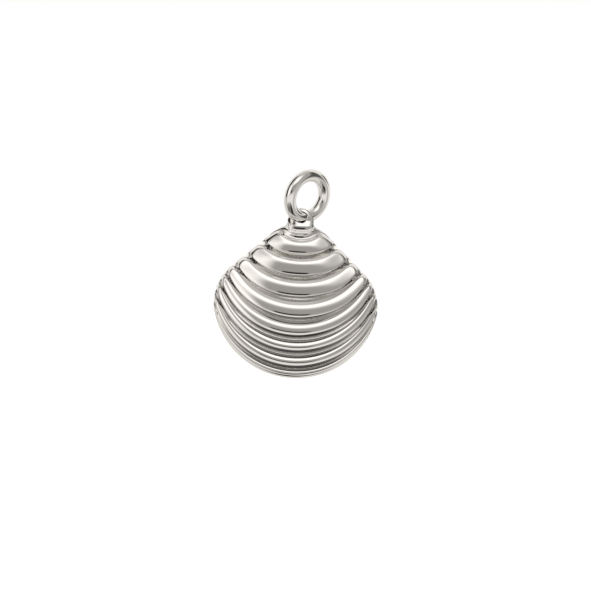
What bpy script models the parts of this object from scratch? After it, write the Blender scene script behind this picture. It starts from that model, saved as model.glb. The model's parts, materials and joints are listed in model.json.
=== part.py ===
"""Puffed shell charm with transverse ribs, hanging from a closed jump ring.

The charm is one solid: a fan-shaped shell whose ribs run round front and back, narrowing at the
top into a neck with an eye. The ring passes through the eye at a slant.
The origin is the highest point inside the ring, where a chain bears. +Z is up, the ribbed
front faces -Y.
"""
import math

import bmesh
import bpy
from mathutils import Matrix, Vector

# Sizes below are millimetres and degrees.
MM = 0.001

# Jump ring. It passes the eye at RING_YAW from the eye's axis, and leans to its front.
WIRE_RADIUS = 0.56
RING_RADIUS = 2.0
RING_YAW = 49.3
RING_LEAN = 16.4
RING_STEPS = 44
WIRE_STEPS = 14

# Eye: a straight hole front to back, raised a little over the arch's centre, and relieved on the
# slant where the wire runs through it.
EYE_RADIUS = 0.62
EYE_RAISE = 0.05
EYE_STEPS = 32
EYE_REACH = 2.0
WIRE_CLEARANCE = 0.05
WIRE_ABOVE_EYE = 0.11
WIRE_ASIDE = 0.10
RELIEF_REACH = 1.1
RELIEF_STEPS = 6

# Shell outline seen from the front, as drops below the eye's centre.
SHOULDER_START = (1.55, 0.55)
SHOULDER_ANGLE = 42.7
SIDE_RADIUS = 4.53
SIDE_CENTRE = (3.05, 8.09)
SHOULDER_FILLET = 0.28
SHOULDER_FILLET_LENGTH = 1.35

# Ribs from the neck down: height on the front's centre line, and length along the edge.
NECK_BASE_DROP = 1.62
RIB_HEIGHTS = (1.85, 1.99, 1.94, 1.94, 1.67, 1.43, 1.43)
RIB_EDGE_LENGTHS = (2.40, 1.82, 1.44, 1.14, 0.97, 1.05, 1.13)
GROOVE_HALF_DEPTHS = (0.84, 1.05, 1.55, 1.90, 2.00, 1.70, 1.20, 0.70)
CREST_HALF_DEPTHS = (1.25, 1.80, 2.25, 2.55, 2.55, 2.20, 1.65)

# Each rib is a ledge, an upright face and an undercut: share of the rib's height, and share
# of the relief over the groove above (up to the crest) or below (past it).
RIB_RELIEF_SIDE = 0.13
RIB_LEDGE = ((0.0, 0.0), (0.12, 0.16), (0.27, 0.72), (0.44, 0.95), (0.72, 1.0))
RIB_UNDERCUT = ((0.88, 0.80), (0.96, 0.35))

# The rim bead below the last rib: share of its height, and half-depth.
RIM_HEIGHT = 0.96
RIM_EDGE_LENGTH = 1.50
RIM_SHAPE = ((0.0, 0.70), (0.12, 0.92), (0.38, 1.08), (0.66, 0.88), (0.87, 0.62), (1.0, 0.26))

# Every section is one rounded loop: its squareness, its points and how a rib's line sags.
SECTION_POWER = 3.0
SECTION_STEPS = 48
SAG_ARC = 72.0

# Neck: sections of the arch over the eye by angle from its top, with half-depth; then sections
# by drop of the ends, sag of the front, half-width and half-depth.
ARCH_RADIUS = 1.22
ARCH_TOP = 0.96
ARCH_SECTIONS = ((6.0, 0.07), (18.0, 0.17), (33.0, 0.26), (50.0, 0.32), (70.0, 0.35), (90.0, 0.37))
NECK_SECTIONS = (
    (0.42, 0.10, 1.22, 0.46),
    (0.56, 0.32, 1.24, 0.51),
    (0.65, 0.49, 1.28, 0.54),
    (0.70, 0.56, 1.32, 0.78),
    (0.77, 0.68, 1.39, 0.87),
    (0.81, 0.78, 1.44, 0.85),
)

SILVER = (0.80, 0.78, 0.75, 1.0)
SILVER_ROUGHNESS = 0.08


def clear_scene():
    for old in list(bpy.data.objects):
        bpy.data.objects.remove(old, do_unlink=True)


def add_collection(name):
    group = bpy.data.collections.new(name)
    bpy.context.scene.collection.children.link(group)
    return group


def polished_silver(name):
    material = bpy.data.materials.new(name)
    material.use_nodes = True
    shader = material.node_tree.nodes["Principled BSDF"]
    shader.inputs["Base Color"].default_value = SILVER
    shader.inputs["Metallic"].default_value = 1.0
    shader.inputs["Roughness"].default_value = SILVER_ROUGHNESS
    return material


def ring_directions():
    """The wire's direction at the eye, and the direction from the eye to the ring's centre."""
    yaw = math.radians(RING_YAW)
    lean = math.radians(RING_LEAN)
    along_wire = Vector((-math.sin(yaw), -math.cos(yaw), 0.0))
    across_wire = Vector((math.cos(yaw), -math.sin(yaw), 0.0))
    to_centre = across_wire * math.sin(lean) + Vector((0.0, 0.0, math.cos(lean)))
    return along_wire, to_centre


def wire_at_eye():
    """The wire's lowest point, where the charm hangs on it."""
    _, to_centre = ring_directions()
    return -to_centre * (2.0 * RING_RADIUS - WIRE_RADIUS)


def eye_centre():
    return wire_at_eye() - Vector((WIRE_ASIDE, 0.0, WIRE_ABOVE_EYE))


def outline_point(length):
    """Half-width and drop of the shell's edge, a length along it from the neck."""
    slope = math.radians(SHOULDER_ANGLE)
    touch_x = SIDE_CENTRE[0] + SIDE_RADIUS * math.sin(slope)
    line = (touch_x - SHOULDER_START[0]) / math.cos(slope)
    if length <= line:
        fillet = SHOULDER_FILLET * max(0.0, 1.0 - length / SHOULDER_FILLET_LENGTH) ** 2
        return (SHOULDER_START[0] + length * math.cos(slope),
                SHOULDER_START[1] + length * math.sin(slope) + fillet)
    turn = (length - line) / SIDE_RADIUS + slope - math.pi / 2.0
    return (SIDE_CENTRE[0] + SIDE_RADIUS * math.cos(turn),
            SIDE_CENTRE[1] + SIDE_RADIUS * math.sin(turn))


def between(values, position):
    """Read a list of values at a fractional position."""
    index = min(int(position), len(values) - 2)
    share = position - index
    return values[index] * (1.0 - share) + values[index + 1] * share


def running_total(start, steps):
    totals = [start]
    for step in steps:
        totals.append(totals[-1] + step)
    return totals


def arch_sections():
    """The rounded top of the neck, over the eye."""
    sections = []
    for angle, half_depth in ARCH_SECTIONS:
        turn = math.radians(angle)
        drop = ARCH_RADIUS * (1.0 - math.cos(turn)) - ARCH_TOP
        sections.append((drop, 0.0, ARCH_RADIUS * math.sin(turn), half_depth))
    return sections


def shell_sections():
    """Rib sections from the neck to the rim, in the form of the neck's sections."""
    front_drops = running_total(NECK_BASE_DROP, RIB_HEIGHTS)
    edge_lengths = running_total(0.0, RIB_EDGE_LENGTHS)
    sections = []
    for rib, crest in enumerate(CREST_HALF_DEPTHS):
        above, below = GROOVE_HALF_DEPTHS[rib:rib + 2]
        rows = [(share, relief, above) for share, relief in RIB_LEDGE]
        rows += [(share, relief, below) for share, relief in RIB_UNDERCUT]
        for share, relief, groove in rows:
            half_width, end_drop = outline_point(between(edge_lengths, rib + share))
            sag = between(front_drops, rib + share) - end_drop
            half_width -= RIB_RELIEF_SIDE * (1.0 - relief)
            sections.append((end_drop, sag, half_width, groove + (crest - groove) * relief))
    for share, half_depth in RIM_SHAPE:
        half_width, end_drop = outline_point(edge_lengths[-1] + RIM_EDGE_LENGTH * share)
        sag = front_drops[-1] + RIM_HEIGHT * share - end_drop
        sections.append((end_drop, sag, half_width, half_depth))
    return sections


def rib_sag(across, _):
    """A rib's line is a circular arc across the front."""
    arc = math.radians(SAG_ARC)
    level = math.sqrt(1.0 - (min(1.0, abs(across)) * math.sin(arc)) ** 2)
    return (level - math.cos(arc)) / (1.0 - math.cos(arc))


def neck_sag(_, deep):
    """The neck's lines stay level across the front and rise round its corners."""
    return deep * deep


def section_loop(section, sag_shape):
    """Points of one section, a squared circle whose front and back sag below its ends."""
    end_drop, sag, half_width, half_depth = section
    points = []
    for step in range(SECTION_STEPS):
        angle = 2.0 * math.pi * step / SECTION_STEPS
        across = math.cos(angle)
        deep = math.sin(angle)
        size = (abs(across) ** SECTION_POWER + abs(deep) ** SECTION_POWER) ** (-1.0 / SECTION_POWER)
        across *= size
        deep *= size
        drop = end_drop + sag * sag_shape(across, deep)
        points.append(Vector((across * half_width, deep * half_depth, -drop)))
    return points


def close_loop(bm, loop, outwards):
    """Close an end by joining each front point to the back point behind it."""
    count = len(loop)
    for step in range(count // 2):
        corners = [loop[step], loop[step + 1], loop[-step - 1], loop[-step]]
        unique = list(dict.fromkeys(corners))
        if outwards:
            unique.reverse()
        bm.faces.new(unique)


def add_mesh(bm, name, group, material, place):
    mesh = bpy.data.meshes.new(name)
    bm.to_mesh(mesh)
    bm.free()
    body = bpy.data.objects.new(name, mesh)
    body.location = place
    if material is not None:
        mesh.materials.append(material)
    group.objects.link(body)
    return body


def turned_cutter(name, group, stations, place, direction):
    """A closed round cutter: circles of given radius at given places along a direction."""
    bm = bmesh.new()
    loops = []
    for along, radius in stations:
        made = bmesh.ops.create_circle(bm, segments=EYE_STEPS, radius=radius * MM,
                                       matrix=Matrix.Translation((0.0, 0.0, along * MM)))
        loops.append(made["verts"])
    for first, second in zip(loops, loops[1:]):
        for step in range(EYE_STEPS):
            after = (step + 1) % EYE_STEPS
            bm.faces.new((first[step], first[after], second[after], second[step]))
    bm.faces.new(loops[0])
    bm.faces.new(loops[-1])
    bmesh.ops.recalc_face_normals(bm, faces=bm.faces)
    cutter = add_mesh(bm, name, group, None, place)
    cutter.rotation_euler = direction.to_track_quat("Z", "Y").to_euler()
    cutter.hide_render = True
    cutter.display_type = "WIRE"
    return cutter


def eye_cutters(group):
    """The straight hole, and the waisted relief round the slanting wire."""
    hole = turned_cutter("eye_hole", group, ((-EYE_REACH, EYE_RADIUS), (EYE_REACH, EYE_RADIUS)),
                         (eye_centre() + Vector((0.0, 0.0, EYE_RAISE))) * MM,
                         Vector((0.0, 1.0, 0.0)))
    stations = []
    for step in range(-RELIEF_STEPS, RELIEF_STEPS + 1):
        along = RELIEF_REACH * step / RELIEF_STEPS
        inside = math.sqrt((RING_RADIUS - WIRE_RADIUS) ** 2 - along * along)
        stations.append((along, RING_RADIUS - inside + WIRE_CLEARANCE))
    along_wire, _ = ring_directions()
    relief = turned_cutter("eye_relief", group, stations, wire_at_eye() * MM, along_wire)
    return hole, relief


def build_charm(group, cutters, material):
    """One loft from the arch over the eye to the rim, with the eye cut through it."""
    bm = bmesh.new()
    loops = []
    for section in arch_sections() + list(NECK_SECTIONS):
        loops.append([bm.verts.new(point * MM) for point in section_loop(section, neck_sag)])
    for section in shell_sections():
        loops.append([bm.verts.new(point * MM) for point in section_loop(section, rib_sag)])
    for upper, lower in zip(loops, loops[1:]):
        for step in range(SECTION_STEPS):
            after = (step + 1) % SECTION_STEPS
            bm.faces.new((upper[step], upper[after], lower[after], lower[step]))
    close_loop(bm, loops[0], False)
    close_loop(bm, loops[-1], True)
    bmesh.ops.recalc_face_normals(bm, faces=bm.faces)
    charm = add_mesh(bm, "shell_charm", group, material, eye_centre() * MM)
    charm.data.shade_smooth()
    charm.data.set_sharp_from_angle(angle=math.radians(40.0))
    for cutter in eye_cutters(cutters):
        cut = charm.modifiers.new(cutter.name, "BOOLEAN")
        cut.operation = "DIFFERENCE"
        cut.solver = "EXACT"
        cut.object = cutter
    return charm


def build_ring(group, material):
    """The jump ring, its plane holding the wire's slant through the eye."""
    along_wire, to_centre = ring_directions()
    normal = along_wire.cross(to_centre).normalized()
    centre = -to_centre * (RING_RADIUS - WIRE_RADIUS) * MM
    bpy.ops.mesh.primitive_torus_add(
        major_radius=RING_RADIUS * MM, minor_radius=WIRE_RADIUS * MM,
        major_segments=RING_STEPS, minor_segments=WIRE_STEPS)
    ring = bpy.context.active_object
    for owner in list(ring.users_collection):
        owner.objects.unlink(ring)
    group.objects.link(ring)
    ring.name = "jump_ring"
    ring.data.name = "jump_ring"
    ring.data.materials.append(material)
    ring.data.shade_smooth()
    turn = Matrix((along_wire, to_centre, normal)).transposed()
    ring.matrix_world = Matrix.Translation(centre) @ turn.to_4x4()
    return ring


def main():
    clear_scene()
    group = add_collection("shell_charm_pendant")
    cutters = add_collection("cutters")
    build_charm(group, cutters, polished_silver("charm_silver"))
    build_ring(group, polished_silver("ring_silver"))


main()
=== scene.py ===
"""Polished-silver shell charm on its jump ring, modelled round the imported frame.

Each operator adds one piece, or the studio. Sizes and colours are on the sidebar panel.
"""
import json
import math

import bpy
import numpy as np
from bpy.props import FloatProperty, IntProperty, PointerProperty, StringProperty
from bpy.types import Operator, Panel, PropertyGroup
from mathutils import Matrix, Vector

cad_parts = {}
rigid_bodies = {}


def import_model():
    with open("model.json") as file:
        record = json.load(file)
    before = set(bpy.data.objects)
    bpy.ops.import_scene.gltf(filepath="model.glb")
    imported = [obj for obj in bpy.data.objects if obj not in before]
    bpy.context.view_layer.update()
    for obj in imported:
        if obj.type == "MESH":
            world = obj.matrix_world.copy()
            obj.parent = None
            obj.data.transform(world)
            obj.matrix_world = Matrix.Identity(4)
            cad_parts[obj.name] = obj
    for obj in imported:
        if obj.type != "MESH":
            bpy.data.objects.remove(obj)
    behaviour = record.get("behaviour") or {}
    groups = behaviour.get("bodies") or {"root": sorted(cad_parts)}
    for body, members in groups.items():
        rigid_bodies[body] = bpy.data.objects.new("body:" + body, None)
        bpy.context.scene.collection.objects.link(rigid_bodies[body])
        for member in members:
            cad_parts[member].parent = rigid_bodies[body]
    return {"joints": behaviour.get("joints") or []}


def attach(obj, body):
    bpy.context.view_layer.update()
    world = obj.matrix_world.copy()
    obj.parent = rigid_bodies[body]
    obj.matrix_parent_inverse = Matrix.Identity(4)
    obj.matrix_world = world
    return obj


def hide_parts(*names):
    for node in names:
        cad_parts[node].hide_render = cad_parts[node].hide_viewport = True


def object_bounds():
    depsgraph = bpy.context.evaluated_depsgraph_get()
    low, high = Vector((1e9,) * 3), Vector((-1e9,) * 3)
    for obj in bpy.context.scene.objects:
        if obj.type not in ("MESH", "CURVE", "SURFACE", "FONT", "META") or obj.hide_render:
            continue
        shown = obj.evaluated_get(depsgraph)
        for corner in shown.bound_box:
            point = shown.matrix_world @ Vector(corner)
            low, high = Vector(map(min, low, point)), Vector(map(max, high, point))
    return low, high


bl_info = {
    "name": "Shell charm",
    "version": (1, 0, 0),
    "blender": (4, 5, 0),
    "location": "3D View > Sidebar > Shell charm",
    "description": "Adds a ribbed shell charm, its jump ring and a small studio",
    "category": "Add Mesh",
}

MM = 0.001

for spare in list(bpy.data.objects):
    bpy.data.objects.remove(spare, do_unlink=True)
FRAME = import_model()
CAD_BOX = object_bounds()

# The charm swings about the ring's wire, where that runs through the eye. In millimetres.
SWING = FRAME["joints"][0]
WIRE_AT_EYE = Vector(SWING["pos_m"]) / MM
ALONG_WIRE = Vector(SWING["axis"]).normalized()
TO_RING = -WIRE_AT_EYE.normalized()

# The eye's centre is a little under and beside the wire, and the straight hole stands a little
# above it. The camera looks at the middle of the shell.
EYE_CENTRE = WIRE_AT_EYE - Vector((0.10, 0.0, 0.11))
HOLE_CENTRE = EYE_CENTRE + Vector((0.0, 0.0, 0.05))
CAMERA_TARGET = EYE_CENTRE + Vector((-0.07, 0.0, -7.16))

# Sizes are in millimetres, angles in degrees, and drops are below the eye's centre.
# The shell's outline seen from the front: a straight shoulder, filleted at the neck, then an arc.
SHOULDER_START = (1.55, 0.55)
SHOULDER_ANGLE = 42.7
SHOULDER_FILLET = 0.28
SHOULDER_FILLET_LENGTH = 1.35
SIDE_RADIUS = 4.53
SIDE_CENTRE = (3.05, 8.09)

# The ribs from the neck down, and the rim last: height on the front's centre line, length along
# the edge, half the shell's thickness in the groove above and on the crest, and how far down the
# rib its crest is.
RIB_COUNT = 7
NECK_BASE_DROP = 1.62
RIB_HEIGHTS = (1.85, 1.99, 1.94, 1.94, 1.67, 1.43, 1.43, 0.96)
RIB_EDGE_LENGTHS = (2.40, 1.82, 1.44, 1.14, 0.97, 1.05, 1.13, 1.50)
GROOVE_HALF_DEPTHS = (0.84, 1.05, 1.58, 1.96, 2.10, 1.80, 1.32, 0.80)
CREST_HALF_DEPTHS = (1.25, 1.80, 2.25, 2.55, 2.55, 2.20, 1.65)
CREST_PLACES = (0.68, 0.72, 0.76, 0.74, 0.66, 0.59, 0.57)

# A rib's face from the groove above to its crest, and on to the groove below: share of the way
# down, and share of the relief. The first rib starts as a plain wall under the collar.
WALL_PLACES = (0.0, 0.10, 0.22, 0.32, 0.44, 0.56, 0.72, 0.88, 1.0)
WALL_RELIEFS = (0.0, -0.035, -0.07, 0.12, 0.52, 0.80, 0.93, 0.985, 1.0)
LEDGE_PLACES = (0.0, 0.08, 0.17, 0.27, 0.37, 0.46, 0.55, 0.68, 0.84, 1.0)
LEDGE_RELIEFS = (0.0, 0.02, 0.26, 0.62, 0.83, 0.915, 0.955, 0.982, 0.996, 1.0)
UNDER_PLACES = (0.0, 0.25, 0.50, 0.70, 0.83, 0.93, 1.0)
UNDER_RELIEFS = (1.0, 0.985, 0.945, 0.87, 0.70, 0.40, 0.0)

# The lower ribs are rounder, with a longer turn under the lip: how far each rib takes this form.
LOW_SHARES = (0.0, 0.0, 0.1, 0.3, 0.5, 1.0, 1.0)
LOW_LEDGE_PLACES = (0.0, 0.12, 0.30, 0.40, 0.50, 0.60, 0.72, 0.84, 0.93, 1.0)
LOW_LEDGE_RELIEFS = (0.0, 0.02, 0.08, 0.34, 0.62, 0.78, 0.89, 0.96, 0.99, 1.0)
LOW_UNDER_PLACES = (0.0, 0.10, 0.57, 0.68, 0.80, 0.92, 1.0)
LOW_UNDER_RELIEFS = (1.0, 0.997, 0.915, 0.84, 0.66, 0.34, 0.0)

# The rim bead, by share of its height: half-depth.
RIM_PLACES = (0.0, 0.06, 0.20, 0.42, 0.58, 0.68, 0.76, 0.88, 0.96, 1.0)
RIM_HALF_DEPTHS = (0.80, 0.85, 1.02, 1.10, 1.00, 0.86, 0.80, 0.64, 0.38, 0.0)

# The neck: an arch over the eye, then sections from the eye to the collar, with the drop of
# their ends, the sag of their front, half-width and half-depth.
ARCH_RADIUS = 1.22
ARCH_TOP = 0.96
ARCH_ANGLES = (0.0, 6.0, 18.0, 33.0, 50.0, 70.0, 90.0)
ARCH_HALF_DEPTHS = (0.0, 0.08, 0.20, 0.30, 0.35, 0.37, 0.38)
NECK_ENDS = (0.26, 0.42, 0.50, 0.60, 0.64, 0.67, 0.69, 0.72, 0.75, 0.78, 0.80, 0.82)
NECK_SAGS = (0.0, 0.18, 0.31, 0.47, 0.53, 0.56, 0.59, 0.63, 0.68, 0.72, 0.76, 0.80)
NECK_HALF_WIDTHS = (1.22, 1.22, 1.23, 1.25, 1.28, 1.30, 1.32, 1.35, 1.38, 1.41, 1.43, 1.45)
NECK_HALF_DEPTHS = (0.38, 0.49, 0.535, 0.51, 0.53, 0.64, 0.78, 0.87, 0.89, 0.89, 0.865, 0.84)
ARCH_ROWS = 16
NECK_ROWS = 25

# The bevel down the neck's sides: half-depth at the very edge, its slope, and the softness of
# the line where it meets the front.
BEVEL_EDGE = 0.08
BEVEL_SLOPE = 2.2
BEVEL_SOFTNESS = 0.06

# How square the level sections are: 2 is an ellipse, and more is squarer. Points round them are
# denser where the ribs end, by place across.
NECK_SQUARENESS = 3.0
SHELL_SQUARENESS = 2.6
DENSE_EXTRA = 1.6
DENSE_ACROSS = 0.83
DENSE_WIDTH = 0.14

# Half the turn of the arc that a rib's line follows across the shell.
HANG_ANGLE = 72.0

# A rib's profile is taken at this many places, and softened over a few of them.
PROFILE_PLACES = 801
BLUR_WIDTH = 8.0
BLUR_REACH = 24

# The faces fall by this share towards the edge, and the grooves get shallower there.
FACE_FALL = 0.50
GROOVE_FALL = 0.35

# The steep band round the ends of the ribs: its width beside a rib's middle and its gain beside
# a groove, as shares of its size. Then, in widths of the band, the radius of its corner with the
# ledge over the rib, how far in from the edge it holds, and how slowly it fades from there.
BAND_MIDDLE = 0.62
BAND_GAIN = 0.5
BAND_CORNER = 2.4
BAND_HOLD = 0.8
BAND_FADE = 1.5

# What the band takes off a face, what its corner takes off as well, and how soft that is.
BAND_DROP = 0.72
CORNER_DROP = 0.10
CORNER_SOFTNESS = 0.8

# Where the ledge starts and how much of a rib it takes, for the first rib and for the others by
# the place of the crest, and the foot of each rib that the band takes.
FIRST_LEDGE = (0.45, 0.55)
LEDGE_SHARE = 0.38
RIB_FOOT = 0.06

# The rim's own drop at the edge with what its rounding adds, and where it has taken over from
# the last groove.
RIM_DROP = 0.75
RIM_ROUNDING = 0.25
RIM_OWN = 0.2

# Where the first rib has taken over from the collar: in front, and how much later at the sides.
FIRST_OWN = 0.35
FIRST_OWN_SIDES = 0.40

# Satin on the ledge over a rib, by share of the way to its crest, and in the groove below, by
# share of the way on from its crest. The rim's crest is where its bead starts to be polished.
LEDGE_SATIN = 0.22
LEDGE_SATIN_HOLD = 1.4
GROOVE_SATIN = 0.80
GROOVE_SATIN_WIDTH = 0.12
RIM_CREST = 0.3

# Painted shade in a line under the lip of each rib, from 0 to 1, and where that line is. Then,
# where the grooves run out over the edge, painted shade in the notch itself and lightly on both
# sides of it.
LIP_SHADE = (0.2, 0.35, 0.45, 0.6, 1.0, 1.0, 1.0)
LIP_PLACE = 0.78
LIP_WIDTH = 0.18
NOTCH_SHADE = 0.5
NOTCH_WIDTH = 0.12
NOTCH_END = 0.5
NOTCH_SOFTNESS = 0.3
EDGE_SHADE = 0.2
EDGE_WIDTH = 0.35
EDGE_END = 1.3
EDGE_SOFTNESS = 0.4

# The cutters of the eye: how far each reaches from its middle, and how near to one of them a
# point lies to be on the eye's wall.
HOLE_REACH = 2.0
RELIEF_REACH = 1.1
RELIEF_STATIONS = 17
WALL_TOLERANCE = 0.003

# Edges sharper than this stay crisp.
SMOOTH_ANGLE = 38.0

# Where each rib starts, the smooth hull that the crests touch, out to the rim, and how much
# shorter each rib is at the edge than in front, by its middle.
RIM_HULL_HALF_DEPTH = 1.30
EDGE_STARTS = np.concatenate(([0.0], np.cumsum(RIB_EDGE_LENGTHS)))
FRONT_STARTS = NECK_BASE_DROP + np.concatenate(([0.0], np.cumsum(RIB_HEIGHTS)))
HULL_SPOTS = (0.0, *(rib + place for rib, place in enumerate(CREST_PLACES)), RIB_COUNT)
HULL_HALF_DEPTHS = (GROOVE_HALF_DEPTHS[0], *CREST_HALF_DEPTHS, RIM_HULL_HALF_DEPTH)
RIB_MIDDLES = np.arange(RIB_COUNT + 1) + 0.5
EDGE_SHARES = np.minimum(np.array(RIB_EDGE_LENGTHS) / RIB_HEIGHTS, 1.0)


class ShellSizes(PropertyGroup):
    """Sizes of the charm."""

    edge_groove: FloatProperty(
        name="Edge groove", description="Depth of the grooves round the shell's edge",
        default=0.06 * MM, unit="LENGTH", precision=5)
    edge_band: FloatProperty(
        name="Edge band", description="Width of the steep band outside the ends of the ribs",
        default=0.66 * MM, unit="LENGTH", precision=5)
    eye_radius: FloatProperty(
        name="Eye radius", description="Radius of the hole through the neck",
        default=0.62 * MM, unit="LENGTH", precision=5)
    wire_clearance: FloatProperty(
        name="Wire clearance", description="Room round the wire where it slants through the eye",
        default=0.05 * MM, unit="LENGTH", precision=5)
    columns: IntProperty(
        name="Columns", description="Points round the shell", default=320, min=48)
    rib_rows: IntProperty(
        name="Rows on a rib", description="Rows of faces down each rib", default=28, min=6)


class RingSizes(PropertyGroup):
    """Sizes of the jump ring."""

    radius: FloatProperty(
        name="Radius", description="Ring's centre to the middle of the wire",
        default=2.0 * MM, unit="LENGTH", precision=5)
    wire_radius: FloatProperty(
        name="Wire radius", description="Radius of the round wire",
        default=0.56 * MM, unit="LENGTH", precision=5)


class SilverFinish(PropertyGroup):
    """Colours and polish of the silver."""

    colour: StringProperty(
        name="Silver", description="Colour of polished silver as a hex value", default="#F6F5F3")
    satin_colour: StringProperty(
        name="Satin", description="Colour of silver that the mop missed", default="#CDCBC6")
    # The colour of the painted shade, mixed in under the lips, in the notches and inside the eye.
    painted_shade_colour: StringProperty(
        name="Painted shade", description="Colour of tarnished silver", default="#1C1B1A")
    roughness: FloatProperty(
        name="Roughness", description="Roughness of the polished faces", default=0.04,
        min=0.0, max=1.0, subtype="FACTOR")
    satin_roughness: FloatProperty(
        name="Satin roughness", description="Roughness in the grooves", default=0.28,
        min=0.0, max=1.0, subtype="FACTOR")
    grain: FloatProperty(
        name="Grain", description="Grains of the satin to a millimetre", default=9.0, min=1.0)


class StudioSettings(PropertyGroup):
    """Camera and room."""

    lens: FloatProperty(
        name="Lens", description="Focal length in millimetres", default=85.0)
    distance: FloatProperty(
        name="Distance", description="Camera to the charm", default=129.2 * MM, unit="LENGTH")
    roll: FloatProperty(
        name="Roll", description="How far the charm leans to the right in view",
        default=math.radians(3.42), subtype="ANGLE")
    floor_drop: FloatProperty(
        name="Floor drop", description="Charm to the floor under it", default=25.0 * MM,
        unit="LENGTH")
    lamp_strength: FloatProperty(
        name="Lamp", description="Strength of the light overhead", default=2.6)


def hex_colour(text):
    """sRGB hex to linear red, green, blue and alpha."""
    parts = []
    for place in (1, 3, 5):
        value = int(text[place:place + 2], 16) / 255.0
        parts.append(value / 12.92 if value <= 0.04045 else ((value + 0.055) / 1.055) ** 2.4)
    return (*parts, 1.0)


def add_node(tree, kind, settings=None, links=None):
    """Add a node. Settings are its own properties or, by socket name or number, its inputs."""
    node = tree.nodes.new(kind)
    for key, value in (settings or {}).items():
        if isinstance(key, str) and hasattr(node, key):
            setattr(node, key, value)
        else:
            node.inputs[key].default_value = value
    for key, socket in (links or {}).items():
        tree.links.new(socket, node.inputs[key])
    return node


def smooth_through(places, values, wanted):
    """Monotone cubic curve through the given points."""
    places = np.asarray(places, float)
    values = np.asarray(values, float)
    steps = np.diff(places)
    slopes = np.diff(values) / steps
    tangents = np.concatenate((slopes[:1], np.zeros(len(slopes) - 1), slopes[-1:]))
    for index in range(1, len(slopes)):
        before, after = slopes[index - 1], slopes[index]
        if before * after > 0.0:
            tangents[index] = 2.0 * before * after / (before + after)
    index = np.clip(np.searchsorted(places, wanted, side="right") - 1, 0, len(steps) - 1)
    step = steps[index]
    share = np.clip((wanted - places[index]) / step, 0.0, 1.0)
    square, cube = share ** 2, share ** 3
    return (values[index] * (2 * cube - 3 * square + 1)
            + tangents[index] * step * (cube - 2 * square + share)
            + values[index + 1] * (3 * square - 2 * cube)
            + tangents[index + 1] * step * (cube - square))


def value_at(places, values, place):
    """One value of the smooth curve through the given points."""
    return float(smooth_through(places, values, np.array([place]))[0])


def ease(share):
    """A step from 0 to 1 with a level start and end."""
    return share * share * (3.0 - 2.0 * share)


def quarter_round(share):
    """A quarter of a circle from 1, where it is steepest, down to a level 0."""
    left = 1.0 - np.clip(share, 0.0, 1.0)
    return 1.0 - (1.0 - left ** 2) ** 0.5


def outline_point(length):
    """Half-width and drop of the shell's edge, a length along it from the neck."""
    slope = math.radians(SHOULDER_ANGLE)
    touch_x = SIDE_CENTRE[0] + SIDE_RADIUS * math.sin(slope)
    line = (touch_x - SHOULDER_START[0]) / math.cos(slope)
    if length <= line:
        fillet = SHOULDER_FILLET * max(0.0, 1.0 - length / SHOULDER_FILLET_LENGTH) ** 2
        return (SHOULDER_START[0] + length * math.cos(slope),
                SHOULDER_START[1] + length * math.sin(slope) + fillet)
    turn = (length - line) / SIDE_RADIUS + slope - math.pi / 2.0
    return (SIDE_CENTRE[0] + SIDE_RADIUS * math.cos(turn),
            SIDE_CENTRE[1] + SIDE_RADIUS * math.sin(turn))


def section_shape(columns, squareness):
    """Across and deep, from -1 to 1, of points round a squared circle, denser where ribs end."""
    fine = np.linspace(0.0, 2.0 * math.pi, 4001)
    density = 1.0 + DENSE_EXTRA * np.exp(
        -((np.abs(np.cos(fine)) - DENSE_ACROSS) / DENSE_WIDTH) ** 2)
    total = np.concatenate(([0.0], np.cumsum(density[1:] + density[:-1])))
    turn = np.interp(np.linspace(0.0, total[-1], columns + 1), total, fine)
    across, deep = np.cos(turn), np.sin(turn)
    size = (np.abs(across) ** squareness + np.abs(deep) ** squareness) ** (-1.0 / squareness)
    # Rounded, so that the first and the last column are both exactly on the edge and merge.
    return across * size, np.round(deep * size, 9)


def arc_sag(across):
    """How far a rib's line hangs at each place across, from 0 at its ends to 1 in the middle."""
    arc = math.radians(HANG_ANGLE)
    level = np.sqrt(1.0 - (np.minimum(1.0, np.abs(across)) * math.sin(arc)) ** 2)
    return (level - math.cos(arc)) / (1.0 - math.cos(arc))


def bevelled(front, across, half_width):
    """Half-depths cut back by the bevel down the neck's side, with a soft line between them."""
    bevel = BEVEL_EDGE + BEVEL_SLOPE * half_width * (1.0 - np.abs(across))
    apart = np.sqrt((front - bevel) ** 2 + BEVEL_SOFTNESS ** 2)
    return np.minimum(0.5 * (front + bevel - apart + BEVEL_SOFTNESS), front)


def neck_rows(columns):
    """Rows of points over the arch and down the neck to its collar."""
    across, deep = section_shape(columns, NECK_SQUARENESS)
    rows = []
    for angle in np.linspace(0.0, 90.0, ARCH_ROWS + 1)[:-1]:
        turn = math.radians(angle)
        half_depth = value_at(ARCH_ANGLES, ARCH_HALF_DEPTHS, angle)
        drop = ARCH_RADIUS * (1.0 - math.cos(turn)) - ARCH_TOP
        rows.append(np.stack((across * ARCH_RADIUS * math.sin(turn), deep * half_depth,
                              np.full_like(across, -drop)), axis=1))
    sections = np.arange(len(NECK_ENDS), dtype=float)
    collar = sections[-1]
    for place in np.linspace(0.0, collar, NECK_ROWS):
        end, sag, half_width, half_depth = (
            value_at(sections, values, place)
            for values in (NECK_ENDS, NECK_SAGS, NECK_HALF_WIDTHS, NECK_HALF_DEPTHS))
        front = half_depth * np.abs(deep)
        # The bevel comes in over the first two sections and goes out over the last four.
        share = min(1.0, place / 2.0) * np.clip((collar - place) / 4.0, 0.0, 1.0)
        front += share * (bevelled(front, across, half_width) - front)
        # From the fifth section on, the front hangs more and more like a rib's line.
        like_rib = np.clip((place - 4.0) / (collar - 4.0), 0.0, 1.0)
        shape = (1.0 - like_rib) * deep ** 2 + like_rib * arc_sag(across)
        rows.append(np.stack((across * half_width, np.sign(deep) * front,
                              -(end + sag * shape)), axis=1))
    return rows


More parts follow.
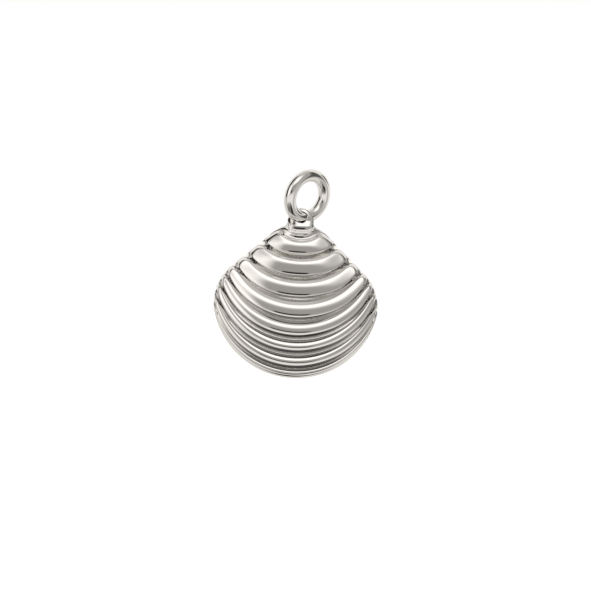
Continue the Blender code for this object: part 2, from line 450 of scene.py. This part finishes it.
def rib_profile(rib, places):
    """Half-depth on the front's centre line at places down a rib, softened a little."""
    crest = CREST_PLACES[rib]
    above, below = GROOVE_HALF_DEPTHS[rib:rib + 2]
    top = CREST_HALF_DEPTHS[rib]
    face = (WALL_PLACES, WALL_RELIEFS) if rib == 0 else (LEDGE_PLACES, LEDGE_RELIEFS)
    low = LOW_SHARES[rib]
    down, past = places / crest, (places - crest) / (1.0 - crest)
    relief = ((1.0 - low) * smooth_through(*face, down)
              + low * smooth_through(LOW_LEDGE_PLACES, LOW_LEDGE_RELIEFS, down))
    under = ((1.0 - low) * smooth_through(UNDER_PLACES, UNDER_RELIEFS, past)
             + low * smooth_through(LOW_UNDER_PLACES, LOW_UNDER_RELIEFS, past))
    depth = np.where(places < crest, above + (top - above) * relief, below + (top - below) * under)
    blur = np.exp(-0.5 * (np.arange(-BLUR_REACH, BLUR_REACH + 1) / BLUR_WIDTH) ** 2)
    before = 2 * depth[0] - depth[BLUR_REACH:0:-1]
    after = 2 * depth[-1] - depth[-2:-2 - BLUR_REACH:-1]
    padded = np.concatenate((before, depth, after))
    return np.convolve(padded, blur / blur.sum(), mode="valid")


def rib_places(rib, count):
    """Places down a rib or the rim, evenly spaced over its face, with the half-depth at each."""
    places = np.linspace(0.0, 1.0, PROFILE_PLACES)
    if rib == RIB_COUNT:
        depths = smooth_through(RIM_PLACES, RIM_HALF_DEPTHS, places)
    else:
        depths = rib_profile(rib, places)
    lengths = np.concatenate(([0.0], np.cumsum(np.hypot(
        np.diff(places) * RIB_HEIGHTS[rib], np.diff(depths)))))
    wanted = np.linspace(0.0, lengths[-1], count + 1)
    if rib < RIB_COUNT:
        wanted = wanted[:-1]
    even = np.interp(wanted, lengths, places)
    return zip(even, np.interp(even, places, depths))


def inward_of_edge(rib, place, width, drop, band):
    """How far points lie in from the ends of the ribs, in widths of the steep band there."""
    lengths = np.linspace(0.0, sum(RIB_EDGE_LENGTHS[:RIB_COUNT]), 900)
    edge = np.array([outline_point(length) for length in lengths])
    away = np.hypot(np.abs(width)[:, None] - edge[:, 0], drop[:, None] - edge[:, 1])
    inward = np.min(away, axis=1) / band
    if rib < RIB_COUNT:
        inward /= BAND_MIDDLE + BAND_GAIN * (2.0 * place - 1.0) ** 2
    return inward


def rib_end_drop(rib, place, inward):
    """How far, as a share, the steep band round a rib's end has dropped below its face.

    The band runs down the shell's edge and round into the ledge over the rib.
    """
    start, width = FIRST_LEDGE if rib == 0 else (0.0, LEDGE_SHARE * CREST_PLACES[rib])
    down = start + place / width
    share = (np.minimum(max(down, BAND_CORNER), np.maximum(inward, BAND_CORNER))
             - np.hypot(max(BAND_CORNER - down, 0.0), np.maximum(BAND_CORNER - inward, 0.0)))
    dropped = np.maximum(quarter_round(share), quarter_round((1.0 - place) / RIB_FOOT))
    return BAND_DROP * dropped + CORNER_DROP * np.clip(-share / CORNER_SOFTNESS, 0.0, 1.0)


def row_half_depth(rib, place, front_depth, across, deep, inward):
    """Half the shell's thickness along one row of points."""
    is_rim = rib == RIB_COUNT
    spot = min(rib + place, float(RIB_COUNT))
    hull = value_at(HULL_SPOTS, HULL_HALF_DEPTHS, spot)
    face = 1.0 - FACE_FALL * np.abs(across) ** 2.5
    shallower = 1.0 - (1.0 - np.interp(spot, RIB_MIDDLES, EDGE_SHARES)) * across ** 2
    shallower *= 1.0 - GROOVE_FALL * np.abs(across) ** 6
    if is_rim:
        groove = hull - RIM_HALF_DEPTHS[0]
        dropped = RIM_DROP + RIM_ROUNDING * quarter_round(inward)
    else:
        groove = hull - front_depth
        dropped = rib_end_drop(rib, place, inward)
    near_edge = np.exp(-np.maximum(inward - BAND_HOLD, 0.0) / BAND_FADE)
    depth = face * (hull - groove * shallower) * (1.0 - near_edge * dropped)
    if rib == 0:
        # The first rib takes over from the collar's section, later at the sides.
        own = ease(np.minimum(1.0, place / (FIRST_OWN + FIRST_OWN_SIDES * np.abs(across) ** 3)))
        depth += (1.0 - own) * (np.abs(deep) * front_depth - depth)
    if is_rim:
        # The rim takes over from the last groove and closes to a rounded end.
        own = ease(min(1.0, place / RIM_OWN))
        closing = (1.0 - np.minimum(np.abs(across), 1.0) ** 6) ** (1.0 / 6.0) * face
        depth = (depth * (1.0 - own) * front_depth / RIM_HALF_DEPTHS[0]
                 + closing * front_depth * own)
    return np.maximum(depth, 0.0)


def row_finish(rib, place, across, inward, groove_distance):
    """How satin each point of a row is, and how much painted shade it has, from 0 to 1."""
    is_rim = rib == RIB_COUNT
    crest = RIM_CREST if is_rim else CREST_PLACES[rib]
    ledge = np.clip(LEDGE_SATIN_HOLD - place / crest / LEDGE_SATIN, 0.0, 1.0) if rib else 0.0
    under = 0.0 if is_rim else max(0.0, (place - crest) / (1.0 - crest))
    satin = max(ledge, float(np.clip((under - GROOVE_SATIN) / GROOVE_SATIN_WIDTH, 0.0, 1.0)))
    lip = 0.0 if is_rim else LIP_SHADE[rib] * math.exp(-((under - LIP_PLACE) / LIP_WIDTH) ** 4)
    notch = (NOTCH_SHADE * math.exp(-(groove_distance / NOTCH_WIDTH) ** 2)
             * np.clip((NOTCH_END - inward) / NOTCH_SOFTNESS, 0.0, 1.0))
    edge = (EDGE_SHADE * math.exp(-(groove_distance / EDGE_WIDTH) ** 4)
            * np.clip((EDGE_END - inward) / EDGE_SOFTNESS, 0.0, 1.0))
    # Painted shade under the lip, in the notch and lightly beside it.
    painted_shade = np.maximum(lip * (1.0 - across ** 4), np.maximum(notch, edge))
    return satin * (1.0 - np.minimum(np.abs(across), 1.0) ** 2.5), painted_shade


def shell_rows(sizes):
    """Rows of points down the ribs to the rim, and how satin each point is and how much painted
    shade it has.
    """
    across, deep = section_shape(sizes.columns, SHELL_SQUARENESS)
    hang = arc_sag(across)
    rows, satins, painted_shades = [], [], []
    for rib in range(RIB_COUNT + 1):
        for place, front_depth in rib_places(rib, sizes.rib_rows):
            half_width, end = outline_point(EDGE_STARTS[rib] + RIB_EDGE_LENGTHS[rib] * place)
            front = FRONT_STARTS[rib] + RIB_HEIGHTS[rib] * place
            width, drop = across * half_width, end + (front - end) * hang
            inward = inward_of_edge(rib, place, width, drop, sizes.edge_band / MM)
            depth = row_half_depth(rib, place, front_depth, across, deep, inward)
            to_groove = place if rib == RIB_COUNT else min(place, 1.0 - place)
            groove_distance = to_groove * RIB_EDGE_LENGTHS[rib]
            dip = sizes.edge_groove / MM * math.exp(-(groove_distance / NOTCH_WIDTH) ** 2)
            rows.append(np.stack((width - np.sign(across) * dip * np.abs(across) ** 6,
                                  np.sign(deep) * depth, -drop), axis=1))
            satin, painted_shade = row_finish(rib, place, across, inward, groove_distance)
            satins.append(satin)
            painted_shades.append(painted_shade)
    return rows, satins, painted_shades


def select_only(piece):
    """Deselect everything else, and make the piece active."""
    bpy.ops.object.select_all(action="DESELECT")
    piece.select_set(True)
    bpy.context.view_layer.objects.active = piece


def loft_grid(name, rows):
    """A grid primitive wrapped onto rows of points.

    The ribs fade, turn and hang all at once, which extrusions and modifiers don't give, so the
    grid's points are placed by the functions above.
    """
    bpy.ops.object.select_all(action="DESELECT")
    bpy.ops.mesh.primitive_grid_add(x_subdivisions=len(rows[0]) - 1,
                                    y_subdivisions=len(rows) - 1, size=1.0)
    piece = bpy.context.active_object
    piece.name = name
    piece.data.name = name
    points = np.concatenate(rows) + np.array(EYE_CENTRE)
    piece.data.vertices.foreach_set("co", (points * MM).ravel())
    piece.data.update()
    return piece


def mark_points(piece, name, rows):
    """Write one number for each point of the grid, row by row, as an attribute."""
    layer = piece.data.attributes.new(name, "FLOAT", "POINT")
    layer.data.foreach_set("value", np.concatenate(rows))


def close_up(piece):
    """Merge the seam and the poles, and turn every face outwards."""
    select_only(piece)
    bpy.ops.object.mode_set(mode="EDIT")
    bpy.ops.mesh.select_all(action="SELECT")
    bpy.ops.mesh.remove_doubles(threshold=0.0002 * MM)
    bpy.ops.mesh.normals_make_consistent(inside=False)
    bpy.ops.object.mode_set(mode="OBJECT")


def turned_cutter(name, stations, place, direction):
    """A closed round cutter: a circle extruded and scaled from station to station."""
    bpy.ops.object.select_all(action="DESELECT")
    start, first_radius = stations[0]
    bpy.ops.mesh.primitive_circle_add(vertices=96, radius=first_radius * MM, fill_type="NGON",
                                      location=(0.0, 0.0, start * MM))
    cutter = bpy.context.active_object
    cutter.name = name
    bpy.ops.object.transform_apply(location=True, rotation=True, scale=True)
    bpy.ops.object.mode_set(mode="EDIT")
    bpy.ops.mesh.select_all(action="SELECT")
    for (low, radius), (high, next_radius) in zip(stations, stations[1:]):
        bpy.ops.mesh.extrude_region_move(
            TRANSFORM_OT_translate={"value": (0.0, 0.0, (high - low) * MM)})
        grow = next_radius / radius
        bpy.ops.transform.resize(value=(grow, grow, 1.0), center_override=(0.0, 0.0, high * MM))
    bpy.ops.mesh.select_all(action="SELECT")
    bpy.ops.mesh.normals_make_consistent(inside=False)
    bpy.ops.object.mode_set(mode="OBJECT")
    cutter.rotation_euler = direction.to_track_quat("Z", "Y").to_euler()
    cutter.location = place * MM
    bpy.ops.object.transform_apply(location=True, rotation=True, scale=True)
    return cutter


def cut(piece, cutter):
    """Cut one closed solid out of another, and drop the cutter."""
    select_only(piece)
    trim = piece.modifiers.new("cut", "BOOLEAN")
    trim.operation = "DIFFERENCE"
    trim.solver = "EXACT"
    trim.object = cutter
    bpy.ops.object.modifier_apply(modifier=trim.name)
    bpy.data.objects.remove(cutter, do_unlink=True)


def cut_eye(piece, eye, radius, wire, clearance):
    """Cut the eye: a straight hole, eased along the wire for every turn of the charm on it."""
    cut(piece, turned_cutter("eye_hole", ((-HOLE_REACH, eye), (HOLE_REACH, eye)), HOLE_CENTRE,
                             Vector((0.0, 1.0, 0.0))))
    stations = []
    for along in np.linspace(-RELIEF_REACH, RELIEF_REACH, RELIEF_STATIONS):
        inside = math.sqrt((radius - wire) ** 2 - along * along)
        stations.append((float(along), radius - inside + clearance))
    cut(piece, turned_cutter("eye_relief", stations, WIRE_AT_EYE, ALONG_WIRE))


def mark_eye_walls(piece, eye, radius, wire, clearance):
    """Mark the faces inside the eye, which are painted dark as shade."""
    points = np.empty(len(piece.data.vertices) * 3)
    piece.data.vertices.foreach_get("co", points)
    points = points.reshape(-1, 3) / MM
    hole = np.array(HOLE_CENTRE)
    from_hole = np.hypot(points[:, 0] - hole[0], points[:, 2] - hole[2])
    from_ring_centre = points + np.array(TO_RING) * (radius - wire)
    sideways = from_ring_centre @ np.array(ALONG_WIRE.cross(TO_RING))
    in_plane = np.sqrt((from_ring_centre ** 2).sum(axis=1) - sideways ** 2)
    from_wire = np.hypot(in_plane - radius, sideways)
    inside = ((np.abs(from_hole - eye) < WALL_TOLERANCE)
              | (np.abs(from_wire - wire - clearance) < WALL_TOLERANCE))
    walls = [float(all(inside[corner] for corner in face.vertices))
             for face in piece.data.polygons]
    layer = piece.data.attributes.new("eye_wall", "FLOAT", "FACE")
    layer.data.foreach_set("value", walls)


def polished_silver(finish):
    """Sterling silver, cast and then polished on a mop.

    To the eye it is a near-white mirror. The grooves, out of the mop's reach, keep the satin
    of the casting. Shade is painted in a dark colour under the lips of the ribs, in the notches
    at the edge and inside the eye.
    """
    silver = bpy.data.materials.new("polished_sterling_silver")
    silver.use_nodes = True
    tree = silver.node_tree
    shader = tree.nodes["Principled BSDF"]
    shader.inputs["Metallic"].default_value = 1.0
    satin = add_node(tree, "ShaderNodeAttribute", {"attribute_name": "satin"}).outputs["Fac"]
    painted_shade = add_node(tree, "ShaderNodeAttribute", {"attribute_name": "painted_shade"}).outputs["Fac"]
    wall = add_node(tree, "ShaderNodeAttribute", {"attribute_name": "eye_wall"}).outputs["Fac"]
    dark = add_node(tree, "ShaderNodeMath", {"operation": "MAXIMUM"}, {0: painted_shade, 1: wall})
    place = add_node(tree, "ShaderNodeTexCoord").outputs["Object"]
    # The grain of the casting darkens the satin in specks. The real grain is a few hundredths of
    # a millimetre, too fine to show, so it is drawn at about a ninth of a millimetre.
    grain = add_node(tree, "ShaderNodeTexNoise", {"Scale": finish.grain / MM, "Detail": 2.0},
                     {"Vector": place})
    specks = add_node(tree, "ShaderNodeMapRange",
                      {"From Min": 0.35, "From Max": 0.65, "To Min": 0.1, "To Max": 0.7},
                      {"Value": grain.outputs["Fac"]})
    dull = add_node(tree, "ShaderNodeMath", {"operation": "MULTIPLY"},
                    {0: satin, 1: specks.outputs[0]})
    clean = add_node(tree, "ShaderNodeMix",
                     {"data_type": "RGBA", 6: hex_colour(finish.colour),
                      7: hex_colour(finish.satin_colour)}, {0: dull.outputs[0]})
    # Painted shade: the dark colour is mixed in under the lips, in the notches and on the eye's
    # walls.
    colour = add_node(tree, "ShaderNodeMix",
                      {"data_type": "RGBA", 7: hex_colour(finish.painted_shade_colour)},
                      {0: dark.outputs[0], 6: clean.outputs[2]})
    tree.links.new(colour.outputs[2], shader.inputs["Base Color"])
    rough = add_node(tree, "ShaderNodeMapRange",
                     {"To Min": finish.roughness, "To Max": finish.satin_roughness},
                     {"Value": satin})
    tree.links.new(rough.outputs[0], shader.inputs["Roughness"])
    return silver


class SHELLCHARM_OT_shell(Operator):
    """Add the ribbed shell with its neck and eye"""

    bl_idname = "shellcharm.add_shell"
    bl_label = "Add shell"

    def execute(self, context):
        sizes = context.scene.charm_shell
        ring = context.scene.charm_ring
        neck = neck_rows(sizes.columns)
        ribs, satins, painted_shades = shell_rows(sizes)
        shell = loft_grid("ribbed_shell", neck + ribs)
        bright = [np.zeros(len(row)) for row in neck]
        mark_points(shell, "satin", bright + satins)
        mark_points(shell, "painted_shade", bright + painted_shades)
        close_up(shell)
        eye = (sizes.eye_radius / MM, ring.radius / MM, ring.wire_radius / MM,
               sizes.wire_clearance / MM)
        cut_eye(shell, *eye)
        mark_eye_walls(shell, *eye)
        select_only(shell)
        bpy.ops.object.shade_smooth_by_angle(angle=math.radians(SMOOTH_ANGLE))
        shell.data.materials.append(polished_silver(context.scene.charm_silver))
        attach(shell, "charm")
        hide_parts("shell_charm")
        return {"FINISHED"}


class SHELLCHARM_OT_ring(Operator):
    """Add the closed jump ring of round wire"""

    bl_idname = "shellcharm.add_ring"
    bl_label = "Add jump ring"

    def execute(self, context):
        sizes = context.scene.charm_ring
        turn = Matrix((ALONG_WIRE, TO_RING, ALONG_WIRE.cross(TO_RING))).transposed()
        centre = -TO_RING * (sizes.radius - sizes.wire_radius)
        bpy.ops.object.select_all(action="DESELECT")
        bpy.ops.mesh.primitive_torus_add(
            major_radius=sizes.radius, minor_radius=sizes.wire_radius,
            major_segments=192, minor_segments=64, location=centre, rotation=turn.to_euler())
        ring = context.active_object
        ring.name = "round_jump_ring"
        ring.data.name = ring.name
        bpy.ops.object.transform_apply(location=True, rotation=True, scale=True)
        bpy.ops.object.shade_smooth()
        ring.data.materials.append(polished_silver(context.scene.charm_silver))
        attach(ring, "ring")
        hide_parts("jump_ring")
        return {"FINISHED"}


# What stands round the tent: bearing to the right and height in degrees, half-width, half-height,
# softness of the edges, and how bright it is. Later ones stand in front of earlier ones.
TENT_PATCHES = (
    (180.0, 30.0, 86.0, 42.0, 12.0, 0.86),
    (180.0, -48.0, 88.0, 30.0, 14.0, 0.75),
    (0.0, -30.0, 62.0, 12.0, 10.0, 0.84),
    (-10.0, -70.0, 70.0, 10.0, 12.0, 0.20),
    (4.0, 3.0, 34.0, 14.0, 30.0, 0.34),
    (66.0, 34.0, 26.0, 30.0, 14.0, 0.38),
    (-50.0, 56.0, 24.0, 16.0, 12.0, 0.34),
    (-2.0, 37.0, 26.0, 18.0, 16.0, 1.20),
    (-46.0, 4.0, 20.0, 20.0, 14.0, 1.10),
    (-80.0, 25.0, 18.0, 38.0, 8.0, 0.03),
    (80.0, 22.0, 12.0, 34.0, 9.0, 0.10),
    (38.0, -57.0, 20.0, 17.0, 9.0, 0.03),
    (-2.0, -9.0, 10.0, 5.0, 4.0, 0.02),
    (116.0, 18.0, 13.0, 12.0, 7.0, 0.12),
)

# The tent's own cloth: height in degrees, and how bright it is.
TENT_LEVELS = ((-90.0, 0.02), (-65.0, 0.06), (-50.0, 0.35), (-35.0, 0.55), (0.0, 0.46),
               (30.0, 0.52), (90.0, 0.56))
TENT_TINT = "#FFFBF6"


def tent_tone(tone):
    """A brightness in the tent's warm white."""
    return (*(tone * part for part in hex_colour(TENT_TINT)[:3]), 1.0)


def tent_bearings(tree, roll):
    """Sockets with the bearing and the height, in degrees, of where a ray looks."""
    looking = add_node(tree, "ShaderNodeTexCoord").outputs["Generated"]
    looking = add_node(tree, "ShaderNodeVectorRotate",
                       {"rotation_type": "Y_AXIS", "Angle": -roll}, {"Vector": looking})
    parts = add_node(tree, "ShaderNodeSeparateXYZ", links={0: looking.outputs[0]})
    height = add_node(tree, "ShaderNodeMath", {"operation": "ARCSINE"}, {0: parts.outputs[2]})
    height = add_node(tree, "ShaderNodeMath", {"operation": "DEGREES"}, {0: height.outputs[0]})
    front = add_node(tree, "ShaderNodeMath", {"operation": "MULTIPLY", 1: -1.0},
                     {0: parts.outputs[1]})
    bearing = add_node(tree, "ShaderNodeMath", {"operation": "ARCTAN2"},
                       {0: parts.outputs[0], 1: front.outputs[0]})
    bearing = add_node(tree, "ShaderNodeMath", {"operation": "DEGREES"}, {0: bearing.outputs[0]})
    return bearing.outputs[0], height.outputs[0]


def tent_cloth(tree, height):
    """The colour of the tent's cloth, by height alone."""
    level = add_node(tree, "ShaderNodeMapRange",
                     {"From Min": -90.0, "From Max": 90.0}, {"Value": height})
    ramp = add_node(tree, "ShaderNodeValToRGB", links={0: level.outputs[0]})
    stops = ramp.color_ramp.elements
    stops.remove(stops[-1])
    for index, (angle, tone) in enumerate(TENT_LEVELS):
        place = (angle + 90.0) / 180.0
        stop = stops[0] if index == 0 else stops.new(place)
        stop.position = place
        stop.color = tent_tone(tone)
    return ramp.outputs[0]


def stand_patch(tree, light, bearing, height, patch):
    """Stand one soft-edged patch in front of the light so far."""
    middle, rise, half_wide, half_high, soft, tone = patch
    masks = []
    for source, centre, half in ((bearing, middle, half_wide), (height, rise, half_high)):
        away = add_node(tree, "ShaderNodeMath", {"operation": "SUBTRACT", 1: centre}, {0: source})
        away = add_node(tree, "ShaderNodeMath", {"operation": "WRAP", 1: 180.0, 2: -180.0},
                        {0: away.outputs[0]})
        away = add_node(tree, "ShaderNodeMath", {"operation": "ABSOLUTE"}, {0: away.outputs[0]})
        masks.append(add_node(
            tree, "ShaderNodeMapRange",
            {"interpolation_type": "SMOOTHSTEP", "From Min": half + soft / 2.0,
             "From Max": max(0.0, half - soft / 2.0)}, {"Value": away.outputs[0]}))
    both = add_node(tree, "ShaderNodeMath", {"operation": "MULTIPLY"},
                    {0: masks[0].outputs[0], 1: masks[1].outputs[0]})
    mix = add_node(tree, "ShaderNodeMix", {"data_type": "RGBA", 7: tent_tone(tone)},
                   {0: both.outputs[0], 6: light})
    return mix.outputs[2]


def studio_world(roll):
    """A light tent, which the polished metal mirrors, with plain white behind the charm."""
    world = bpy.data.worlds.new("light_tent")
    bpy.context.scene.world = world
    world.use_nodes = True
    tree = world.node_tree
    tree.nodes.clear()
    bearing, height = tent_bearings(tree, roll)
    light = tent_cloth(tree, height)
    for patch in TENT_PATCHES:
        light = stand_patch(tree, light, bearing, height, patch)
    mirrored = add_node(tree, "ShaderNodeBackground", links={0: light})
    plain = add_node(tree, "ShaderNodeBackground", {"Color": (1.0, 1.0, 1.0, 1.0)})
    seen = add_node(tree, "ShaderNodeLightPath")
    pick = add_node(tree, "ShaderNodeMixShader", links={
        0: seen.outputs["Is Camera Ray"], 1: mirrored.outputs[0], 2: plain.outputs[0]})
    add_node(tree, "ShaderNodeOutputWorld", links={0: pick.outputs[0]})


def matt_paper():
    """White paper with no gloss, which gives a plain ground."""
    paper = bpy.data.materials.new("matt_white_paper")
    paper.use_nodes = True
    shader = paper.node_tree.nodes["Principled BSDF"]
    shader.inputs["Base Color"].default_value = hex_colour("#FBFBFA")
    shader.inputs["Roughness"].default_value = 0.9
    return paper


class SHELLCHARM_OT_studio(Operator):
    """Add the floor, the light and the camera"""

    bl_idname = "shellcharm.add_studio"
    bl_label = "Add studio"

    def execute(self, context):
        studio = context.scene.charm_studio
        studio_world(studio.roll)
        bpy.ops.object.select_all(action="DESELECT")
        bpy.ops.mesh.primitive_plane_add(
            size=4.0, location=(0.0, 0.0, CAD_BOX[0][2] - studio.floor_drop))
        floor = context.active_object
        floor.name = "pale_floor"
        floor.data.materials.append(matt_paper())
        floor.visible_glossy = False
        bpy.ops.object.light_add(type="SUN", location=(0.0, 0.0, 0.3))
        lamp = context.active_object
        lamp.name = "overhead_light"
        lamp.data.angle = math.radians(50.0)
        lamp.data.energy = studio.lamp_strength
        lamp.visible_glossy = False
        view = bpy.data.cameras.new("camera")
        view.lens = studio.lens
        view.clip_start = 0.001
        view.clip_end = 20.0
        camera = bpy.data.objects.new("camera", view)
        context.scene.collection.objects.link(camera)
        camera.location = CAMERA_TARGET * MM + Vector((0.0, -studio.distance, 0.0))
        camera.rotation_euler = (math.pi / 2.0, -studio.roll, 0.0)
        context.scene.camera = camera
        context.scene.view_settings.view_transform = "Standard"
        return {"FINISHED"}


class SHELLCHARM_PT_panel(Panel):
    """Sidebar panel with the operators and their sizes"""

    bl_label = "Shell charm"
    bl_idname = "SHELLCHARM_PT_panel"
    bl_space_type = "VIEW_3D"
    bl_region_type = "UI"
    bl_category = "Shell charm"

    def draw(self, context):
        layout = self.layout
        for operator in OPERATORS:
            layout.operator(operator.bl_idname)
        for name in SETTINGS:
            group = getattr(context.scene, name)
            box = layout.box()
            for field in group.bl_rna.properties:
                if field.identifier not in {"rna_type", "name"}:
                    box.prop(group, field.identifier)


OPERATORS = (SHELLCHARM_OT_shell, SHELLCHARM_OT_ring, SHELLCHARM_OT_studio)
SETTINGS = {
    "charm_shell": ShellSizes,
    "charm_ring": RingSizes,
    "charm_silver": SilverFinish,
    "charm_studio": StudioSettings,
}


def register():
    """Register the classes, and put the settings on the scene."""
    for group in (*SETTINGS.values(), *OPERATORS, SHELLCHARM_PT_panel):
        bpy.utils.register_class(group)
    for name, group in SETTINGS.items():
        setattr(bpy.types.Scene, name, PointerProperty(type=group))


def unregister():
    """Undo what register did."""
    for name in SETTINGS:
        delattr(bpy.types.Scene, name)
    for group in (SHELLCHARM_PT_panel, *reversed(OPERATORS), *reversed(SETTINGS.values())):
        bpy.utils.unregister_class(group)


def main():
    """Add every piece and the studio."""
    register()
    bpy.ops.shellcharm.add_shell()
    bpy.ops.shellcharm.add_ring()
    bpy.ops.shellcharm.add_studio()


if __name__ == "__main__":
    main()
